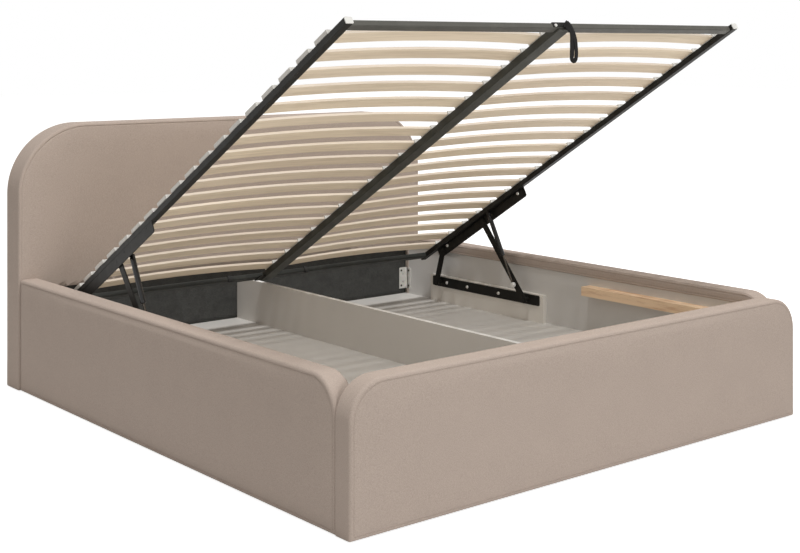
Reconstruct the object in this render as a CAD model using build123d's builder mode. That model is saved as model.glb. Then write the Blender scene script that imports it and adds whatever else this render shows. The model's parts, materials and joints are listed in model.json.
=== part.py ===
from build123d import *
from math import atan2, cos, degrees, hypot, radians, sin, sqrt, tan
import os

# Upholstered storage bed with a lift-up slatted base, modelled with the base raised.
# X runs across the bed, Y from the foot (low) to the headboard (high), Z up from the floor.
# The origin lies on the floor under the middle of the bed. Lengths are in millimetres.

# Overall sizes of the carcase
overall_width = 1800
overall_length = 2164
side_height = 402
side_thickness = 62
footboard_thickness = 66
foot_corner_radius = 104
headboard_overhang = 4
headboard_height = 955
headboard_thickness = 110
headboard_corner_radius = 250

# Padding and cloth
padding = 12
edge_rounding = 10
back_rounding = 5
flap_depth = 40
flap_thickness = 2.5
lining_thickness = 2
lining_inset = 2

# Boards and timber
board_thickness = 16
rail_width = 50
floor_top = 150
floor_thickness = 12
floor_joint = 1
ledge_width = 20
ledge_height = 30
beam_width = 40
beam_height = 60
leg_radius = 20
leg_count = 3
glide_height = 4
glide_radius = 15
side_glide_shares = (0.06, 0.5, 0.94)
end_glide_shares = (0.3, 0.9)
divider_thickness = 18
divider_height = 164
batten_width = 45
batten_height = 34
batten_length = 843
batten_drop = 72
packing_thickness = 18
packing_length = 712
packing_height = 110
packing_head_gap = 192

# Corner brackets and their screws
bracket_leg = 36
bracket_thickness = 2.5
bracket_corner = 6
bracket_rise = 22
bracket_batten_gap = 32
bracket_hole_radius = 2.6
bracket_hole_shares = ((0.72, 0.14), (0.45, 0.31), (0.45, 0.68), (0.72, 0.86))
screw_radius = 2.5
screw_head_radius = 4.5
screw_head_height = 1.5

# Slatted frame
frame_side_gap = 36
frame_head_gap = 10
frame_foot_gap = 8
open_angle = 29.7
open_head_gap = 172
open_head_height = 339
closed_rest_gap = 0.5
tube_wall = 1.5
tube_corner = 3
side_tube_width = 25
side_tube_height = 20
cross_tube_width = 28
cross_tube_height = 18
cross_tube_inset = 12.5
centre_tube_width = 50
centre_tube_height = 24
cap_flange = 3
cap_plug = 15

# Slats and their holders
slat_count = 18
slat_width = 53
slat_thickness = 8
slat_bow = 12.5
first_slat = 119
last_slat = 98
holder_wall = 6.5
holder_floor = 1.2
holder_reach = 27
holder_overhang = 0.6
slat_insertion = 18
slat_clearance = 0.6

# Lift mechanism, pivots measured from the head end of the frame and down from its top
base_bar_thickness = 4
base_bar_height = 40
base_bar_corner = 6
base_bar_head_overlap = 54
base_bar_foot_overlap = 64
pivot_height = 236
short_pivot_run = 135
short_pivot_drop = 39
long_pivot_run = 435
long_pivot_drop = 35
gas_pivot_offset = 67
gas_pivot_drop = 30
gas_pivot_share = 0.19
link_thickness = 4
link_width = 28
plate_thickness = 3
flange_drop = 57
flange_head_run = 98
flange_foot_run = 725
flange_corner = 8
arm_margin = 2
arm_head_run = 102
arm_foot_run = 713
arm_bolt_head_run = 172
arm_bolt_foot_run = 685
arm_bolt_drop = 28.5
pin_radius = 6
collar_radius = 9
rivet_head_radius = 9
rivet_head_height = 2
rivet_recess = 0.6
side_play = 0.3
link_gap = 0.5
running_clearance = 0.05
bolt_radius = 4
bolt_head_radius = 7
bolt_head_height = 4
bar_bolt_runs = (42, 177, 375)
head_taper = 25

# Gas springs
gas_link_gap = 3.5
cylinder_radius = 9
cylinder_length = 185
cylinder_start = 12
cylinder_bore_start = 84
cylinder_rounding = 3
rod_radius = 4
rod_overlap = 14
eye_radius = 8
eye_width = 14
stud_radius = 4
stud_head_radius = 6
stud_head_height = 2
socket_radius = 9.5
socket_rounding = 2.5
socket_gap = 0.5
stub_radius = 6

# Pull strap and its plate
strap_length = 128
strap_width = 44
strap_thickness = 6
strap_neck_width = 24
strap_neck_length = 16
strap_left_shoulder = 28
strap_right_shoulder = 58
strap_slit_width = 5
strap_slit_length = 22
strap_slit_rise = 9
strap_offset = 32
strap_neck_offset = -4
strap_gap = 0.3
strap_plate_width = 76
strap_plate_depth = 20
strap_plate_drop = 15
strap_plate_thickness = 1.5
strap_plate_offset = -5
strap_bolt_spacing = 53
strap_bolt_drop = 9
small_bolt_head_radius = 5
small_bolt_head_height = 3

# Small parts on the head tube
clip_offset = 172
clip_width = 14
clip_reach = 7
clip_wall = 2.5
gusset_width = 26
gusset_length = 46
gusset_thickness = 3
gusset_offset = -38

# Cuts run this far past the faces they open
overrun = 5

# Places worked out from the sizes above
half_width = overall_width / 2
foot_face = -overall_length / 2
headboard_front = overall_length / 2 - headboard_thickness
storage_foot = foot_face + footboard_thickness
storage_length = headboard_front - storage_foot
side_inner = half_width - side_thickness
rail_depth = side_thickness - padding - board_thickness
board_top = side_height - padding
headboard_board_front = headboard_front + padding
lining_front = headboard_board_front - lining_thickness
divider_top = floor_top + divider_height
flap_bottom = side_height - flap_depth
batten_top = side_height - batten_drop
bracket_base = floor_top + bracket_rise
bracket_height = batten_top - batten_height - bracket_batten_gap - bracket_base

# Slatted frame: the closed place lies between the boards, the open place is read off the photograph
frame_half = side_inner - frame_side_gap
frame_length = storage_length - frame_head_gap - frame_foot_gap
closed_top = batten_top + closed_rest_gap + side_tube_height
closed_head = headboard_front - frame_head_gap
open_head = headboard_front - open_head_gap


def frame_place(run, drop, angle, head_y, head_z):
    """Y and Z of a point of the frame: run back from its head end, drop below its top."""
    tilt = radians(angle)
    return (
        head_y - run * cos(tilt) - drop * sin(tilt),
        head_z + run * sin(tilt) - drop * cos(tilt),
    )


def open_place(run, drop):
    return frame_place(run, drop, open_angle, open_head, open_head_height)


def closed_place(run, drop):
    return frame_place(run, drop, 0, closed_head, closed_top)


def displacement_pole():
    """The point about which one turn would carry the frame from open to closed."""
    start = open_place(0, 0)
    end = closed_place(0, 0)
    step_y = end[0] - start[0]
    step_z = end[1] - start[1]
    height = 1 / (2 * tan(radians(open_angle / 2)))
    return (
        (start[0] + end[0]) / 2 - step_z * height,
        (start[1] + end[1]) / 2 + step_y * height,
    )


def base_pivot(run, drop):
    """The fixed pivot at pivot height for a link whose moving pivot is at run and drop.

    It lies on the line from the pole through the middle of the moving pivot's two
    places, which keeps the link the same length when open and when closed.
    """
    pole = displacement_pole()
    start = open_place(run, drop)
    end = closed_place(run, drop)
    middle = ((start[0] + end[0]) / 2, (start[1] + end[1]) / 2)
    reach = (pivot_height - pole[1]) / (middle[1] - pole[1])
    return (pole[0] + reach * (middle[0] - pole[0]), pivot_height)


def between(start, end, share):
    return (start[0] + (end[0] - start[0]) * share, start[1] + (end[1] - start[1]) * share)


def distance(start, end):
    return hypot(end[0] - start[0], end[1] - start[1])


def direction(start, end):
    return degrees(atan2(end[1] - start[1], end[0] - start[0]))


short_base = base_pivot(short_pivot_run, short_pivot_drop)
long_base = base_pivot(long_pivot_run, long_pivot_drop)
short_top = open_place(short_pivot_run, short_pivot_drop)
long_top = open_place(long_pivot_run, long_pivot_drop)
gas_pivot_run = long_pivot_run + gas_pivot_offset
gas_top = open_place(gas_pivot_run, gas_pivot_drop)
gas_foot = between(long_base, long_top, gas_pivot_share)
gas_length = distance(gas_top, gas_foot)

# Layers of the right-hand mechanism along X, from the side board inwards
base_bar_outer = side_inner - packing_thickness
base_bar_inner = base_bar_outer - base_bar_thickness
arm_outer = frame_half - plate_thickness
arm_inner = arm_outer - plate_thickness
link_outer = arm_inner - link_gap
link_inner = link_outer - link_thickness
gas_x = link_inner - gas_link_gap - cylinder_radius

# Planes. Frame planes tilt with the raised base.
frame_plane = Plane(
    origin=(0, open_head, open_head_height),
    x_dir=(1, 0, 0),
    z_dir=(0, sin(radians(open_angle)), cos(radians(open_angle))),
)


def across_frame(run):
    """A plane across the frame at run from its head end: X across the bed, Y downwards."""
    return Plane(
        origin=frame_plane.from_local_coords((0, -run, 0)),
        x_dir=frame_plane.x_dir,
        z_dir=frame_plane.y_dir,
    )


def along_frame(x):
    """An upright plane along the frame at x: X towards the head end, Y upwards."""
    return Plane(
        origin=frame_plane.from_local_coords((x, 0, 0)),
        x_dir=frame_plane.y_dir,
        z_dir=frame_plane.x_dir,
    )


# Shared shapes
def block(x_span, y_span, z_span, mode=Mode.ADD):
    """A box that fills three spans, each given as its low and high end."""
    spans = (x_span, y_span, z_span)
    with Locations(tuple((low + high) / 2 for low, high in spans)):
        Box(*(high - low for low, high in spans), mode=mode)


def panel_face(plane, x_span, y_span, low_radius, high_radius):
    """A rectangle whose two top corners are rounded, the first at its low end."""
    with BuildSketch(plane) as face:
        with Locations((sum(x_span) / 2, sum(y_span) / 2)):
            Rectangle(x_span[1] - x_span[0], y_span[1] - y_span[0])
        corners = face.vertices().group_by(Axis.Y)[-1].sort_by(Axis.X)
        if low_radius:
            fillet(corners[0], low_radius)
        if high_radius:
            fillet(corners[-1], high_radius)
    return face.sketch


def tube_section(plane, x_span, y_span):
    """The section of a rectangular steel tube."""
    with BuildSketch(plane) as section:
        with Locations((sum(x_span) / 2, sum(y_span) / 2)):
            width = x_span[1] - x_span[0]
            height = y_span[1] - y_span[0]
            RectangleRounded(width, height, tube_corner)
            RectangleRounded(
                width - 2 * tube_wall, height - 2 * tube_wall, tube_corner - tube_wall, mode=Mode.SUBTRACT
            )
    return section.sketch


def link_face(plane, start, end, width):
    """A flat bar with round ends centred on two pivots."""
    with BuildSketch(plane) as face:
        with Locations(between(start, end, 1 / 2)):
            SlotCenterToCenter(distance(start, end), width, rotation=direction(start, end))
    return face.sketch


def discs(plane, centres, radius):
    with BuildSketch(plane) as face:
        with Locations(*centres):
            Circle(radius)
    return face.sketch


def save(piece, name):
    piece.part.label = name
    export_step(piece.part, f"parts/{name}.step")


def save_pair(right, name):
    """Writes a right-hand piece and its mirror image on the left."""
    with BuildPart() as left:
        mirror(right.part, about=Plane.YZ)
    save(right, f"{name}_right")
    save(left, f"{name}_left")


def save_both_sides(right, name):
    """Writes a right-hand piece and its mirror image as one node."""
    with BuildPart() as both:
        add(right.part)
        mirror(right.part, about=Plane.YZ)
    save(both, name)


os.makedirs("parts", exist_ok=True)

# Headboard: board and timber rails under a padded cover that is open at the back
headboard_half = half_width + headboard_overhang
board_half = headboard_half - padding
headboard_board_top = headboard_height - padding
board_corner = headboard_corner_radius - padding
headboard_rail_front = headboard_board_front + board_thickness
headboard_back = overall_length / 2
headboard_rail_back = headboard_back - lining_inset - lining_thickness

with BuildPart() as headboard_cover:
    front = Plane.XZ.offset(-headboard_back)
    extrude(
        panel_face(
            front,
            (-headboard_half, headboard_half),
            (glide_height, headboard_height),
            headboard_corner_radius,
            headboard_corner_radius,
        ),
        amount=headboard_thickness,
    )
    fillet(headboard_cover.faces().sort_by(Axis.Y)[0].edges(), edge_rounding)
    fillet(headboard_cover.faces().sort_by(Axis.Y)[-1].edges(), back_rounding)
    block(
        (-headboard_half - overrun, headboard_half + overrun),
        (headboard_front - overrun, headboard_back + overrun),
        (glide_height - overrun, glide_height),
        mode=Mode.SUBTRACT,
    )
    extrude(
        panel_face(
            front.offset(-overrun),
            (-board_half, board_half),
            (glide_height - overrun, headboard_board_top),
            board_corner,
            board_corner,
        ),
        amount=headboard_thickness - padding + overrun,
        mode=Mode.SUBTRACT,
    )
    block(
        (-side_inner, side_inner),
        (headboard_front - overrun, headboard_board_front),
        (glide_height - overrun, flap_bottom),
        mode=Mode.SUBTRACT,
    )
save(headboard_cover, "headboard_cover")

with BuildPart() as headboard_board:
    extrude(
        panel_face(
            Plane.XZ.offset(-headboard_rail_front),
            (-board_half, board_half),
            (glide_height, headboard_board_top),
            board_corner,
            board_corner,
        ),
        amount=board_thickness,
    )
save(headboard_board, "headboard_board")

with BuildPart() as headboard_rails:
    rail_depth_span = (headboard_rail_front, headboard_rail_back)
    post_top = headboard_board_top - board_corner
    block((-board_half, board_half), rail_depth_span, (glide_height, glide_height + rail_width))
    block(
        (-board_half + board_corner, board_half - board_corner),
        rail_depth_span,
        (headboard_board_top - rail_width, headboard_board_top),
    )
    for x_low in (-board_half, -rail_width / 2, board_half - rail_width):
        block((x_low, x_low + rail_width), rail_depth_span, (glide_height + rail_width, post_top))
    block(
        (-rail_width / 2, rail_width / 2), rail_depth_span, (post_top, headboard_board_top - rail_width)
    )

with BuildPart() as headboard_back_lining:
    extrude(
        panel_face(
            Plane.XZ.offset(-headboard_rail_back - lining_thickness),
            (-board_half, board_half),
            (glide_height, headboard_board_top),
            board_corner,
            board_corner,
        ),
        amount=lining_thickness,
    )
save(headboard_back_lining, "headboard_back_lining")

with BuildPart() as storage_lining:
    block((-side_inner, side_inner), (lining_front, headboard_board_front), (floor_top, flap_bottom))
save(storage_lining, "headboard_storage_lining")

# Footboard: like the sides, a board and rails under a padded cover with a flap turned inside
foot_board_face = storage_foot - board_thickness
foot_half = half_width - padding
foot_inner_corner = foot_corner_radius - padding

with BuildPart() as footboard_cover:
    back = Plane.XZ.offset(-storage_foot)
    outer_face = panel_face(
        back, (-half_width, half_width), (glide_height, side_height), foot_corner_radius, foot_corner_radius
    )
    extrude(outer_face, amount=footboard_thickness)
    fillet(footboard_cover.faces().sort_by(Axis.Y)[0].edges(), edge_rounding)
    fillet(footboard_cover.faces().sort_by(Axis.Y)[-1].edges(), back_rounding)
    block(
        (-half_width - overrun, half_width + overrun),
        (foot_face - overrun, storage_foot + overrun),
        (glide_height - overrun, glide_height),
        mode=Mode.SUBTRACT,
    )
    extrude(
        panel_face(
            back.offset(-overrun),
            (-foot_half, foot_half),
            (glide_height - overrun, board_top),
            foot_inner_corner,
            foot_inner_corner,
        ),
        amount=footboard_thickness - padding + overrun,
        mode=Mode.SUBTRACT,
    )
    extrude(
        panel_face(
            back,
            (-side_inner + flap_thickness, side_inner - flap_thickness),
            (flap_bottom, side_height - back_rounding),
            flap_depth - 2 * back_rounding,
            flap_depth - 2 * back_rounding,
        ),
        amount=-flap_thickness,
    )
save(footboard_cover, "footboard_cover")

with BuildPart() as footboard_board:
    extrude(
        panel_face(
            back,
            (-foot_half, foot_half),
            (glide_height, board_top),
            foot_inner_corner,
            foot_inner_corner,
        ),
        amount=board_thickness,
    )
save(footboard_board, "footboard_board")

with BuildPart() as footboard_rails:
    foot_rail_span = (foot_face + padding, foot_board_face)
    foot_post_top = board_top - foot_inner_corner
    block((-foot_half, foot_half), foot_rail_span, (glide_height, glide_height + rail_width))
    block(
        (-foot_half + foot_inner_corner, foot_half - foot_inner_corner),
        foot_rail_span,
        (board_top - rail_width, board_top),
    )
    for x_low in (-foot_half, foot_half - rail_width):
        block((x_low, x_low + rail_width), foot_rail_span, (glide_height + rail_width, foot_post_top))
    block(
        (-rail_width / 2, rail_width / 2),
        foot_rail_span,
        (glide_height + rail_width, board_top - rail_width),
    )

# Side panels, drawn for the right-hand side and mirrored
side_foot = storage_foot + padding
corner_fall = foot_corner_radius - flap_depth
flap_foot = storage_foot + foot_corner_radius - sqrt(foot_corner_radius**2 - corner_fall**2) + back_rounding

with BuildPart() as side_cover:
    inside = Plane.YZ.offset(side_inner)
    side_face = panel_face(
        inside, (storage_foot, headboard_front), (glide_height, side_height), foot_corner_radius, 0
    )
    extrude(side_face, amount=side_thickness)
    for rounded_face, radius in (
        (side_cover.faces().sort_by(Axis.X)[-1], edge_rounding),
        (side_cover.faces().sort_by(Axis.X)[0], back_rounding),
    ):
        fillet(rounded_face.edges().filter_by(lambda edge: edge.center().Z > floor_top), radius)
    extrude(
        panel_face(
            inside.offset(-overrun),
            (side_foot, headboard_front + overrun),
            (glide_height - overrun, board_top),
            foot_inner_corner,
            0,
        ),
        amount=side_thickness - padding + overrun,
        mode=Mode.SUBTRACT,
    )
    extrude(
        panel_face(
            inside,
            (flap_foot, headboard_front - back_rounding),
            (flap_bottom, side_height - back_rounding),
            flap_depth - 2 * back_rounding,
            0,
        ),
        amount=-flap_thickness,
    )
save_pair(side_cover, "side_cover")

with BuildPart() as side_board:
    extrude(
        panel_face(inside, (side_foot, headboard_front), (glide_height, board_top), foot_inner_corner, 0),
        amount=board_thickness,
    )
save_pair(side_board, "side_board")

with BuildPart() as side_rails:
    side_rail_span = (side_inner + board_thickness, half_width - padding)
    side_post_foot = side_foot + foot_inner_corner
    block(side_rail_span, (side_foot, headboard_front), (glide_height, glide_height + rail_width))
    block(side_rail_span, (side_post_foot, headboard_front), (board_top - rail_width, board_top))
    for y_low in (side_post_foot, storage_foot + storage_length / 2, headboard_front - rail_width):
        block(
            side_rail_span,
            (y_low, y_low + rail_width),
            (glide_height + rail_width, board_top - rail_width),
        )

with BuildPart() as panel_rails:
    add(headboard_rails.part)
    add(footboard_rails.part)
    add(side_rails.part)
    mirror(side_rails.part, about=Plane.YZ)
save(panel_rails, "panel_rails")

# Storage floor on side ledges and a centre beam, and the divider that stands on it
floor_base = floor_top - floor_thickness

with BuildPart() as floor_panel:
    block(
        (floor_joint / 2, side_inner),
        (storage_foot, headboard_board_front),
        (floor_base, floor_top),
    )
save_pair(floor_panel, "floor_panel")

with BuildPart() as floor_ledge:
    block(
        (side_inner - ledge_width, side_inner),
        (side_foot, headboard_front),
        (floor_base - ledge_height, floor_base),
    )
save_both_sides(floor_ledge, "floor_ledges")

with BuildPart() as centre_beam:
    block(
        (-beam_width / 2, beam_width / 2),
        (storage_foot, headboard_board_front),
        (floor_base - beam_height, floor_base),
    )
save(centre_beam, "centre_beam")

with BuildPart() as centre_legs:
    leg_pitch = storage_length / (leg_count + 1)
    leg_places = [(0, storage_foot + leg_pitch * (index + 1)) for index in range(leg_count)]
    extrude(discs(Plane.XY, leg_places, leg_radius), amount=floor_base - beam_height)
save(centre_legs, "centre_legs")

with BuildPart() as centre_divider:
    block(
        (-divider_thickness / 2, divider_thickness / 2),
        (storage_foot, lining_front),
        (floor_top, divider_top),
    )
save(centre_divider, "centre_divider")

with BuildPart() as floor_glides:
    side_glide_x = half_width - padding - rail_depth / 2
    glide_places = [
        (side * side_glide_x, storage_foot + storage_length * share)
        for side in (-1, 1)
        for share in side_glide_shares
    ]
    foot_glide_y = foot_face + padding + (footboard_thickness - padding) / 2
    head_glide_y = headboard_back - headboard_thickness / 2
    for share in end_glide_shares:
        for side in (-1, 1):
            glide_places.append((side * foot_half * share, foot_glide_y))
            glide_places.append((side * board_half * share, head_glide_y))
    extrude(discs(Plane.XY, glide_places, glide_radius), amount=glide_height)
save(floor_glides, "floor_glides")

# Pine battens that carry the closed frame, and the packing boards under the lift mechanism
with BuildPart() as support_batten:
    block(
        (side_inner - batten_width, side_inner),
        (side_foot, side_foot + batten_length - padding),
        (batten_top - batten_height, batten_top),
    )
save_both_sides(support_batten, "support_battens")

packing_head = headboard_front - packing_head_gap
bar_head = short_base[0] + base_bar_head_overlap
bar_foot = long_base[0] - base_bar_foot_overlap
bar_bolts = [(short_base[0] - run, pivot_height) for run in bar_bolt_runs]

with BuildPart() as packing_board:
    block(
        (base_bar_outer, side_inner),
        (packing_head - packing_length, packing_head),
        (floor_top, floor_top + packing_height),
    )
    extrude(
        discs(Plane.YZ.offset(base_bar_outer), bar_bolts, bolt_radius),
        amount=packing_thickness,
        mode=Mode.SUBTRACT,
    )
save_both_sides(packing_board, "packing_boards")


# Corner brackets: two holed legs with round tops, one on the side board and one on the end
def corner_bracket(end_face, towards):
    """An angle bracket on the end face at the right-hand side, its legs turned towards the bed."""
    reach = end_face + towards * bracket_leg
    with BuildPart() as bracket:
        leg_ends = sorted((end_face, reach))
        extrude(
            panel_face(
                Plane.YZ.offset(side_inner),
                leg_ends,
                (bracket_base, bracket_base + bracket_height),
                bracket_corner if towards < 0 else 0,
                bracket_corner if towards > 0 else 0,
            ),
            amount=-bracket_thickness,
        )
        extrude(
            panel_face(
                Plane.XZ.offset(-end_face),
                (side_inner - bracket_leg, side_inner),
                (bracket_base, bracket_base + bracket_height),
                bracket_corner,
                0,
            ),
            amount=-towards * bracket_thickness,
        )
        side_holes = []
        end_holes = []
        for away, up in bracket_hole_shares:
            hole_height = bracket_base + bracket_height * up
            side_holes.append((end_face + towards * bracket_leg * away, hole_height))
            end_holes.append((side_inner - bracket_leg * away, hole_height))
        extrude(
            discs(Plane.YZ.offset(side_inner), side_holes, bracket_hole_radius),
            amount=-bracket_thickness,
            mode=Mode.SUBTRACT,
        )
        extrude(
            discs(Plane.XZ.offset(-end_face), end_holes, bracket_hole_radius),
            amount=-towards * bracket_thickness,
            mode=Mode.SUBTRACT,
        )
    with BuildPart() as screws:
        for face_plane, holes, sense in (
            (Plane.YZ.offset(side_inner), (side_holes[0], side_holes[-1]), -1),
            (Plane.XZ.offset(-end_face), (end_holes[0], end_holes[-1]), -towards),
        ):
            extrude(discs(face_plane, holes, screw_radius), amount=sense * bracket_thickness)
            extrude(
                discs(face_plane.offset(sense * bracket_thickness), holes, screw_head_radius),
                amount=sense * screw_head_height,
                taper=head_taper,
            )
    return bracket, screws


head_bracket, head_screws = corner_bracket(lining_front, -1)
save_both_sides(head_bracket, "head_brackets")
foot_bracket, foot_screws = corner_bracket(storage_foot, 1)
save_both_sides(foot_bracket, "foot_brackets")

with BuildPart() as bracket_screws:
    add(head_screws.part)
    add(foot_screws.part)
save_both_sides(bracket_screws, "bracket_screws")

# Lift mechanism on the carcase: base bars, their bolts and the two fixed pivot pins
base_pivots = (short_base, long_base)

with BuildPart() as base_bar:
    with BuildSketch(Plane.YZ.offset(base_bar_inner)):
        with Locations(((bar_head + bar_foot) / 2, pivot_height)):
            RectangleRounded(bar_head - bar_foot, base_bar_height, base_bar_corner)
        with Locations(*bar_bolts):
            Circle(bolt_radius, mode=Mode.SUBTRACT)
        with Locations(*base_pivots):
            Circle(pin_radius, mode=Mode.SUBTRACT)
    extrude(amount=base_bar_thickness)
save_pair(base_bar, "base_bar")

with BuildPart() as bar_bolt_set:
    extrude(
        discs(Plane.YZ.offset(base_bar_inner), bar_bolts, bolt_radius),
        amount=base_bar_thickness + packing_thickness,
    )
    extrude(
        discs(Plane.YZ.offset(base_bar_inner), bar_bolts, bolt_head_radius),
        amount=-bolt_head_height,
        taper=head_taper,
    )
save_both_sides(bar_bolt_set, "base_bar_bolts")

with BuildPart() as base_pins:
    extrude(
        discs(Plane.YZ.offset(base_bar_outer), [long_base], pin_radius),
        amount=link_inner - side_play - rivet_head_height - base_bar_outer,
    )
    extrude(
        discs(Plane.YZ.offset(base_bar_outer), [short_base], pin_radius),
        amount=link_outer + link_gap - base_bar_outer,
    )
    extrude(
        discs(Plane.YZ.offset(base_bar_inner), [long_base], collar_radius),
        amount=link_outer + side_play - base_bar_inner,
    )
    extrude(
        discs(Plane.YZ.offset(base_bar_inner), [short_base], collar_radius),
        amount=link_outer + link_gap - base_bar_inner,
    )
    extrude(
        discs(Plane.YZ.offset(link_inner - side_play), [long_base], rivet_head_radius),
        amount=-rivet_head_height,
    )
save_both_sides(base_pins, "base_pivot_pins")

# Links. The short link's lower pivot and the gas spring's lower one are left open.
link_plane = Plane.YZ.offset(link_inner)

with BuildPart() as short_link:
    extrude(link_face(link_plane, short_base, short_top, link_width), amount=link_thickness)
    extrude(
        discs(link_plane, [short_top], pin_radius + running_clearance),
        amount=link_thickness,
        mode=Mode.SUBTRACT,
    )
    extrude(discs(link_plane, [short_base], rivet_head_radius), amount=-rivet_head_height)
save_pair(short_link, "short_link")

with BuildPart() as long_link:
    extrude(link_face(link_plane, long_base, long_top, link_width), amount=link_thickness)
    extrude(
        discs(link_plane, [long_base, long_top], pin_radius + running_clearance),
        amount=link_thickness,
        mode=Mode.SUBTRACT,
    )
    extrude(
        discs(link_plane, [gas_foot], stub_radius),
        amount=-(link_inner - gas_x - eye_width / 2 - socket_gap),
    )
save_pair(long_link, "long_link")

# Tubes of the slatted frame
side_tube_inner = frame_half - side_tube_width

with BuildPart() as side_tube:
    extrude(
        tube_section(across_frame(frame_length), (side_tube_inner, frame_half), (0, side_tube_height)),
        amount=frame_length,
    )
save_pair(side_tube, "side_tube")


def cross_tube(foot_side_run):
    """A tube across the frame whose edge towards the foot is at the given run."""
    with BuildPart() as tube:
        extrude(
            tube_section(
                along_frame(-side_tube_inner),
                (-foot_side_run, cross_tube_width - foot_side_run),
                (-cross_tube_height, 0),
            ),
            amount=2 * side_tube_inner,
        )
    return tube


foot_tube_run = frame_length - cross_tube_inset
head_tube_run = cross_tube_inset + cross_tube_width
save(cross_tube(foot_tube_run), "foot_tube")
save(cross_tube(head_tube_run), "head_tube")

with BuildPart(frame_plane) as centre_tube:
    extrude(
        tube_section(
            across_frame(foot_tube_run),
            (-centre_tube_width / 2, centre_tube_width / 2),
            (0, centre_tube_height),
        ),
        amount=frame_length - 2 * cross_tube_inset,
    )
    for notch_run in (foot_tube_run, head_tube_run):
        block(
            (-centre_tube_width / 2 - overrun, centre_tube_width / 2 + overrun),
            (-notch_run, cross_tube_width - notch_run),
            (-cross_tube_height, overrun),
            mode=Mode.SUBTRACT,
        )
save(centre_tube, "centre_tube")

with BuildPart() as end_cap:
    cap_plane = across_frame(frame_length)
    cap_x = frame_half - side_tube_width / 2
    cap_y = side_tube_height / 2
    with BuildSketch(cap_plane) as cap_face:
        with Locations((cap_x, cap_y)):
            RectangleRounded(side_tube_width, side_tube_height, tube_corner)
    extrude(cap_face.sketch, amount=-cap_flange)
    with BuildSketch(cap_plane) as plug_face:
        with Locations((cap_x, cap_y)):
            RectangleRounded(
                side_tube_width - 2 * tube_wall, side_tube_height - 2 * tube_wall, tube_corner - tube_wall
            )
    extrude(plug_face.sketch, amount=cap_plug)
save_both_sides(end_cap, "tube_end_caps")

# Mechanism plates on the frame: a welded flange and a bolted lift arm on each side
arm_bolts = [(-arm_bolt_head_run, -arm_bolt_drop), (-arm_bolt_foot_run, -arm_bolt_drop)]
link_pins = [(-short_pivot_run, -short_pivot_drop), (-long_pivot_run, -long_pivot_drop)]
gas_pin_place = (-gas_pivot_run, -gas_pivot_drop)


def mechanism_plate(inner_x, head_run, foot_run, top_drop, bottom_drop):
    """A plate below the side tube, holed for the arm bolts and the frame's pins."""
    with BuildPart() as plate:
        with BuildSketch(along_frame(inner_x)) as face:
            with Locations((-(head_run + foot_run) / 2, -(top_drop + bottom_drop) / 2)):
                Rectangle(foot_run - head_run, bottom_drop - top_drop)
            fillet(face.vertices().group_by(Axis.Y)[0], flange_corner)
            with Locations(*arm_bolts, gas_pin_place):
                Circle(bolt_radius, mode=Mode.SUBTRACT)
            with Locations(*link_pins):
                Circle(pin_radius, mode=Mode.SUBTRACT)
        extrude(amount=plate_thickness)
    return plate


save_pair(
    mechanism_plate(arm_outer, flange_head_run, flange_foot_run, side_tube_height, flange_drop),
    "frame_flange",
)
save_pair(
    mechanism_plate(
        arm_inner, arm_head_run, arm_foot_run, side_tube_height + arm_margin, flange_drop - arm_margin
    ),
    "lift_arm",
)

with BuildPart() as arm_bolt_set:
    bolt_plane = along_frame(arm_inner)
    extrude(discs(bolt_plane, arm_bolts, bolt_radius), amount=2 * plate_thickness - rivet_recess)
    extrude(discs(bolt_plane, arm_bolts, bolt_head_radius), amount=-bolt_head_height, taper=head_taper)
save_both_sides(arm_bolt_set, "arm_bolts")

with BuildPart() as frame_pins:
    pin_tail_plane = along_frame(frame_half - rivet_recess)
    pin_end = link_inner - side_play - rivet_head_height
    stud_end = gas_x - eye_width / 2 - side_play - stud_head_height
    extrude(
        discs(pin_tail_plane, link_pins, pin_radius),
        amount=pin_end - frame_half + rivet_recess,
    )
    extrude(
        discs(along_frame(pin_end), link_pins, rivet_head_radius),
        amount=rivet_head_height,
    )
    extrude(
        discs(pin_tail_plane, [gas_pin_place], stud_radius),
        amount=stud_end - frame_half + rivet_recess,
    )
    extrude(discs(along_frame(stud_end), [gas_pin_place], stud_head_radius), amount=stud_head_height)
save_both_sides(frame_pins, "frame_pivot_pins")

# Gas springs, each turned about its own axis from the upper eye towards the lower socket
gas_y = (gas_foot[0] - gas_top[0]) / gas_length
gas_z = (gas_foot[1] - gas_top[1]) / gas_length
gas_plane = Plane(origin=(gas_x, *gas_top), x_dir=(0, gas_y, gas_z), z_dir=(1, 0, 0))
gas_across = Plane(origin=gas_plane.origin, x_dir=(1, 0, 0), z_dir=gas_plane.x_dir)

with BuildPart() as gas_cylinder:
    extrude(
        discs(gas_across.offset(cylinder_start), [(0, 0)], cylinder_radius),
        amount=cylinder_length - cylinder_start,
    )
    fillet(gas_cylinder.edges(), cylinder_rounding)
    extrude(discs(gas_across, [(0, 0)], rod_radius), amount=cylinder_start)
    extrude(discs(gas_plane, [(0, 0)], eye_radius), amount=eye_width / 2, both=True)
    extrude(
        discs(gas_plane, [(0, 0)], stud_radius + running_clearance),
        amount=eye_width,
        both=True,
        mode=Mode.SUBTRACT,
    )
    extrude(
        discs(gas_across.offset(cylinder_bore_start), [(0, 0)], rod_radius + running_clearance),
        amount=cylinder_length - cylinder_bore_start,
        mode=Mode.SUBTRACT,
    )
save_pair(gas_cylinder, "gas_cylinder")

with BuildPart() as gas_rod:
    extrude(
        discs(gas_across.offset(cylinder_length - rod_overlap), [(0, 0)], rod_radius),
        amount=gas_length - socket_radius - cylinder_length + rod_overlap,
    )
save_pair(gas_rod, "gas_rod")

with BuildPart() as rod_socket:
    extrude(
        discs(gas_plane, [(gas_length, 0)], socket_radius),
        amount=eye_width / 2,
        both=True,
    )
    fillet(rod_socket.edges(), socket_rounding)
save_pair(rod_socket, "rod_socket")

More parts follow.
